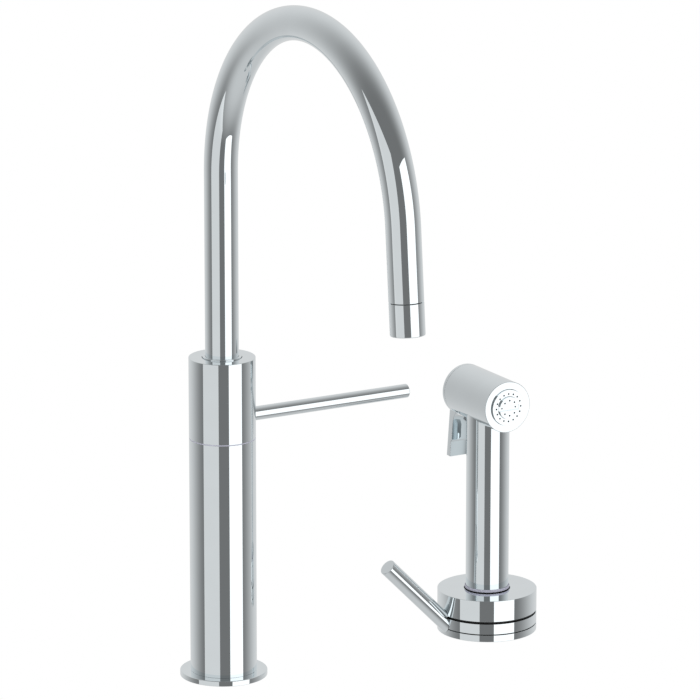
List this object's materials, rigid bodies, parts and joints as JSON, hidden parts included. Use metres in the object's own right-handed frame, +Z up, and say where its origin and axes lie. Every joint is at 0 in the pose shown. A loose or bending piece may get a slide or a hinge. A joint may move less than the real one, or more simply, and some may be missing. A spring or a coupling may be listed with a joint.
{
  "type": "kitchen faucet with side hand spray",
  "caption": "Tall single-lever gooseneck kitchen mixer with a swivel spout, beside a separate trigger hand spray in a round deck base with a control ring.",
  "frame": {"origin": "on the deck's top face, on the mixer's axis", "axes": "+Z up, spout along -Y, hand spray along +X"},
  "size_m": [0.303, 0.3231, 0.6217],
  "materials": {
    "chrome": "polished chrome plate",
    "brass": "machined, unplated",
    "steel": "turned steel",
    "copper": "drawn copper tube",
    "rubber": "moulded seal rubber",
    "black_plastic": "satin black acetal",
    "pale_plastic": "pale lavender-grey acetal",
    "grey_plastic": "moulded valve plastic",
    "ceramic": "lapped ceramic"
  },
  "bodies": {
    "fixed_set": {"base_flange": "chrome", "deck_gasket": "rubber", "lower_body_tube": "chrome", "mounting_shank": "brass", "deck_rubber_washer": "rubber", "deck_clamp_washer": "steel", "deck_nut": "brass", "inlet_tube_hot": "copper", "inlet_tube_cold": "copper", "inlet_fitting_hot": "brass", "inlet_fitting_cold": "brass", "valve_body": "brass", "mixing_cartridge": "grey_plastic", "cartridge_nut": "brass", "retaining_clip": "steel", "glide_ring": "pale_plastic", "spray_base_ring": "chrome", "spray_gasket": "rubber", "spray_shank": "brass", "spray_rubber_washer": "rubber", "spray_clamp_washer": "steel", "spray_nut": "brass", "spray_core": "brass", "ring_stop_pin": "steel", "spray_seal_ring": "black_plastic", "fixed_valve_disc": "ceramic", "spray_top_cover": "chrome"},
    "turning_sleeve": {"mixer_sleeve": "chrome", "lever_carrier": "brass", "lever_pivot_pin": "steel"},
    "lever": {"lever_rod": "chrome", "lever_hub": "steel"},
    "spindle": {"cartridge_spindle": "brass"},
    "spout": {"spout_collar": "chrome", "spout_foot": "brass", "spout_oring_1": "rubber", "spout_oring_2": "rubber", "spout_tube": "chrome", "aerator_sleeve": "chrome", "aerator_washer": "rubber", "aerator_insert": "grey_plastic", "aerator_screen": "steel"},
    "spray_control": {"control_ring": "chrome", "control_lever": "chrome", "turning_valve_disc": "ceramic"},
    "dock_bush": {"guide_bush": "pale_plastic"},
    "handset": {"handset_tube": "chrome", "handset_end_plug": "brass", "check_valve": "grey_plastic", "handset_waterway": "grey_plastic", "spray_head": "chrome", "rear_cap": "chrome", "head_insert": "grey_plastic", "spray_plate": "chrome", "centre_nozzle": "chrome", "trigger_pin": "steel", "plunger_spring": "steel"},
    "trigger": {"trigger": "chrome"},
    "plunger": {"spray_plunger": "brass", "plunger_seal": "rubber"}
  },
  "joints": [
    {"name": "spout_swivel", "type": "hinge", "parent": "fixed_set", "child": "spout", "pos_m": [0, 0, 0.24], "axis": [0, 0, 1], "continuous": true},
    {"name": "sleeve_turn", "type": "hinge", "parent": "fixed_set", "child": "turning_sleeve", "pos_m": [0, 0, 0.215], "axis": [0, 0, 1], "range_deg": [-45, 45]},
    {"name": "lever_lift", "type": "hinge", "parent": "turning_sleeve", "child": "lever", "pos_m": [0.014, 0, 0.1995], "axis": [0, -1, 0], "range_deg": [0, 20]},
    {"name": "spindle_slide", "type": "slide", "parent": "turning_sleeve", "child": "spindle", "axis": [0, 0, 1], "range_m": [-0.005, 0]},
    {"name": "spray_ring_turn", "type": "hinge", "parent": "fixed_set", "child": "spray_control", "pos_m": [0.2318, 0, 0.01], "axis": [0, 0, 1], "range_deg": [0, 90]},
    {"name": "handset_turn", "type": "hinge", "parent": "fixed_set", "child": "dock_bush", "pos_m": [0.2318, 0, 0.02], "axis": [0, 0, 1], "continuous": true},
    {"name": "handset_lift", "type": "slide", "parent": "dock_bush", "child": "handset", "axis": [0, 0, 1], "range_m": [0, 0.12]},
    {"name": "trigger_pull", "type": "hinge", "parent": "handset", "child": "trigger", "pos_m": [0.2318, 0.0235, 0.1708], "axis": [-1, 0, 0], "range_deg": [0, 12], "stiffness_Nm_per_rad": 0.35, "springref_deg": -8.59},
    {"name": "plunger_slide", "type": "slide", "parent": "handset", "child": "plunger", "axis": [0, 1, 0], "range_m": [0, 0.0027], "deforming": ["plunger_spring"]}
  ],
  "couplings": [
    {"joint": "spindle_slide", "follows": "lever_lift", "m_per_rad": -0.014},
    {"joint": "plunger_slide", "follows": "trigger_pull", "m_per_rad": 0.01246}
  ]
}
